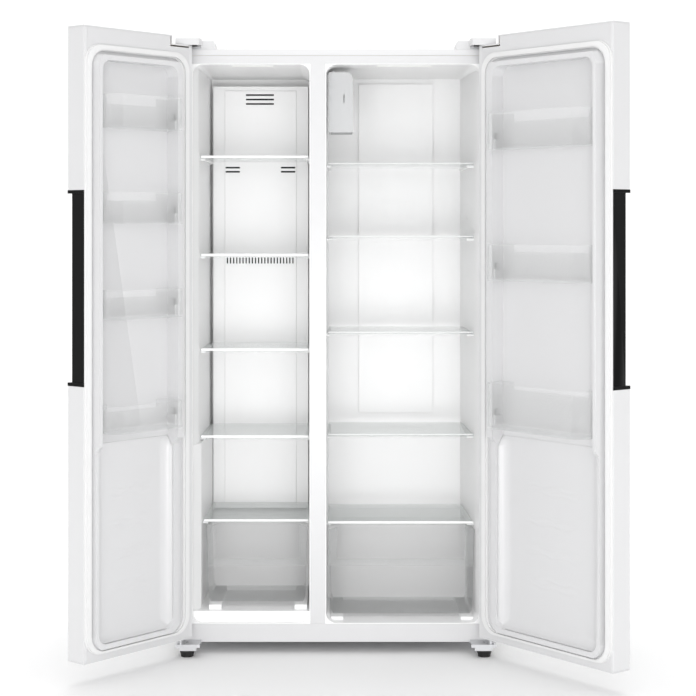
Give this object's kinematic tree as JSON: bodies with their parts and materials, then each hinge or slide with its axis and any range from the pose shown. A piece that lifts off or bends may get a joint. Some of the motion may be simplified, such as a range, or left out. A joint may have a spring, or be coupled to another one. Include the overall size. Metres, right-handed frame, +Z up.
{
  "type": "side by side refrigerator",
  "caption": "Upright refrigerator and freezer side by side, doors hung open, with glass shelves, clear drawers, clear door bins and recessed upright grips.",
  "frame": {"origin": "on the floor, under the middle of the box around the whole part with its doors open as stored", "axes": "+X to the right seen from the front, +Y from the front to the back, +Z up"},
  "size_m": [1.499, 1.0322, 1.768],
  "materials": {
    "white_steel": "gloss",
    "white_liner": "satin",
    "white_trim": "gloss",
    "clear_shelf": "polished",
    "clear_plastic": "polished",
    "black_grip": "gloss",
    "gasket": "matte",
    "foam": "matte",
    "zinc_steel": "satin",
    "aluminium_fins": "satin",
    "black_paint": "satin",
    "black_plastic": "matte",
    "grey_plastic": "matte",
    "lamp_lens": "satin"
  },
  "bodies": {
    "cabinet": {"cabinet_shell": "white_steel", "back_panel": "zinc_steel", "base_pan": "zinc_steel", "insulation_foam": "foam", "freezer_liner": "white_liner", "fridge_liner": "white_liner", "front_frame": "white_trim", "bottom_rail": "white_trim", "roller_brackets": "zinc_steel", "evaporator_cover": "white_liner", "evaporator": "aluminium_fins", "fan_motors": "grey_plastic", "fridge_duct_cover": "white_liner", "damper_housing": "white_trim", "interior_lamps": "lamp_lens", "compressor": "black_paint", "condenser": "black_paint", "drip_tray": "grey_plastic", "machine_cover": "zinc_steel", "power_inlet": "grey_plastic", "bottom_hinges": "zinc_steel", "top_hinges": "zinc_steel", "hinge_covers": "white_trim"},
    "left_door": {"left_door_skin": "white_steel", "left_door_foam": "foam", "left_door_liner": "white_liner", "left_door_gasket": "gasket", "left_door_grip": "black_grip", "left_door_caps": "white_trim"},
    "right_door": {"right_door_skin": "white_steel", "right_door_foam": "foam", "right_door_liner": "white_liner", "right_door_gasket": "gasket", "right_door_grip": "black_grip", "right_door_caps": "white_trim"},
    "evaporator_fan": {"evaporator_fan": "grey_plastic"},
    "condenser_fan": {"condenser_fan": "grey_plastic"},
    "damper_flap": {"damper_flap": "white_trim"},
    "front_foot_left": {"front_foot_left": "black_plastic"},
    "front_foot_right": {"front_foot_right": "black_plastic"},
    "rear_rollers": {"rear_rollers": "black_plastic"},
    "freezer_drawer_lid": {"freezer_drawer_lid": "clear_shelf"},
    "crisper_lid": {"crisper_lid": "clear_shelf"},
    "freezer_drawer": {"freezer_drawer": "clear_plastic"},
    "crisper_drawer": {"crisper_drawer": "clear_plastic"},
    "freezer_shelf_1": {"freezer_shelf_1": "clear_shelf"},
    "freezer_shelf_2": {"freezer_shelf_2": "clear_shelf"},
    "freezer_shelf_3": {"freezer_shelf_3": "clear_shelf"},
    "freezer_shelf_4": {"freezer_shelf_4": "clear_shelf"},
    "fridge_shelf_1": {"fridge_shelf_1": "clear_shelf"},
    "fridge_shelf_2": {"fridge_shelf_2": "clear_shelf"},
    "fridge_shelf_3": {"fridge_shelf_3": "clear_shelf"},
    "fridge_shelf_4": {"fridge_shelf_4": "clear_shelf"},
    "freezer_bin_1": {"freezer_bin_1": "clear_plastic"},
    "freezer_bin_2": {"freezer_bin_2": "clear_plastic"},
    "freezer_bin_3": {"freezer_bin_3": "clear_plastic"},
    "freezer_bin_4": {"freezer_bin_4": "clear_plastic"},
    "fridge_bin_1": {"fridge_bin_1": "clear_plastic"},
    "fridge_bin_2": {"fridge_bin_2": "clear_plastic"},
    "fridge_bin_3": {"fridge_bin_3": "clear_plastic"}
  },
  "joints": [
    {"name": "left_door_swing", "type": "hinge", "parent": "cabinet", "child": "left_door", "pos_m": [-0.47087, -0.10887, 0.9], "axis": [0, 0, -1], "range_deg": [-131, 9]},
    {"name": "right_door_swing", "type": "hinge", "parent": "cabinet", "child": "right_door", "pos_m": [0.41513, -0.10887, 0.9], "axis": [0, 0, 1], "range_deg": [-129, 11]},
    {"name": "freezer_drawer_slide", "type": "slide", "parent": "cabinet", "child": "freezer_drawer", "axis": [0, -1, 0], "range_m": [0, 0.2]},
    {"name": "crisper_drawer_slide", "type": "slide", "parent": "cabinet", "child": "crisper_drawer", "axis": [0, -1, 0], "range_m": [0, 0.2]},
    {"name": "freezer_lid_slide", "type": "slide", "parent": "cabinet", "child": "freezer_drawer_lid", "axis": [0, -1, 0], "range_m": [0, 0.46]},
    {"name": "crisper_lid_slide", "type": "slide", "parent": "cabinet", "child": "crisper_lid", "axis": [0, -1, 0], "range_m": [0, 0.46]},
    {"name": "freezer_shelf_1_slide", "type": "slide", "parent": "cabinet", "child": "freezer_shelf_1", "axis": [0, -1, 0], "range_m": [0, 0.46]},
    {"name": "freezer_shelf_2_slide", "type": "slide", "parent": "cabinet", "child": "freezer_shelf_2", "axis": [0, -1, 0], "range_m": [0, 0.46]},
    {"name": "freezer_shelf_3_slide", "type": "slide", "parent": "cabinet", "child": "freezer_shelf_3", "axis": [0, -1, 0], "range_m": [0, 0.46]},
    {"name": "freezer_shelf_4_slide", "type": "slide", "parent": "cabinet", "child": "freezer_shelf_4", "axis": [0, -1, 0], "range_m": [0, 0.46]},
    {"name": "fridge_shelf_1_slide", "type": "slide", "parent": "cabinet", "child": "fridge_shelf_1", "axis": [0, -1, 0], "range_m": [0, 0.46]},
    {"name": "fridge_shelf_2_slide", "type": "slide", "parent": "cabinet", "child": "fridge_shelf_2", "axis": [0, -1, 0], "range_m": [0, 0.46]},
    {"name": "fridge_shelf_3_slide", "type": "slide", "parent": "cabinet", "child": "fridge_shelf_3", "axis": [0, -1, 0], "range_m": [0, 0.46]},
    {"name": "fridge_shelf_4_slide", "type": "slide", "parent": "cabinet", "child": "fridge_shelf_4", "axis": [0, -1, 0], "range_m": [0, 0.46]},
    {"name": "freezer_bin_1_lift", "type": "slide", "parent": "left_door", "child": "freezer_bin_1", "axis": [0, 0, 1], "range_m": [0, 0.06]},
    {"name": "freezer_bin_2_lift", "type": "slide", "parent": "left_door", "child": "freezer_bin_2", "axis": [0, 0, 1], "range_m": [0, 0.06]},
    {"name": "freezer_bin_3_lift", "type": "slide", "parent": "left_door", "child": "freezer_bin_3", "axis": [0, 0, 1], "range_m": [0, 0.06]},
    {"name": "freezer_bin_4_lift", "type": "slide", "parent": "left_door", "child": "freezer_bin_4", "axis": [0, 0, 1], "range_m": [0, 0.06]},
    {"name": "fridge_bin_1_lift", "type": "slide", "parent": "right_door", "child": "fridge_bin_1", "axis": [0, 0, 1], "range_m": [0, 0.06]},
    {"name": "fridge_bin_2_lift", "type": "slide", "parent": "right_door", "child": "fridge_bin_2", "axis": [0, 0, 1], "range_m": [0, 0.06]},
    {"name": "fridge_bin_3_lift", "type": "slide", "parent": "right_door", "child": "fridge_bin_3", "axis": [0, 0, 1], "range_m": [0, 0.06]},
    {"name": "left_foot_turn", "type": "hinge", "parent": "cabinet", "child": "front_foot_left", "pos_m": [-0.45287, -0.09187, 0.01], "axis": [0, 0, 1], "range_deg": [-180, 180]},
    {"name": "right_foot_turn", "type": "hinge", "parent": "cabinet", "child": "front_foot_right", "pos_m": [0.39713, -0.09187, 0.01], "axis": [0, 0, 1], "range_deg": [-180, 180]},
    {"name": "rear_roller_roll", "type": "hinge", "parent": "cabinet", "child": "rear_rollers", "pos_m": [-0.02787, 0.47613, 0.02], "axis": [1, 0, 0], "continuous": true},
    {"name": "evaporator_fan_spin", "type": "hinge", "parent": "cabinet", "child": "evaporator_fan", "pos_m": [-0.26387, 0.40613, 1.51], "axis": [0, 1, 0], "continuous": true},
    {"name": "condenser_fan_spin", "type": "hinge", "parent": "cabinet", "child": "condenser_fan", "pos_m": [0.00213, 0.37613, 0.16], "axis": [1, 0, 0], "continuous": true},
    {"name": "damper_flap_tilt", "type": "hinge", "parent": "cabinet", "child": "damper_flap", "pos_m": [-0.03487, 0.06613, 1.56], "axis": [0, 1, 0], "range_deg": [0, 45]}
  ]
}
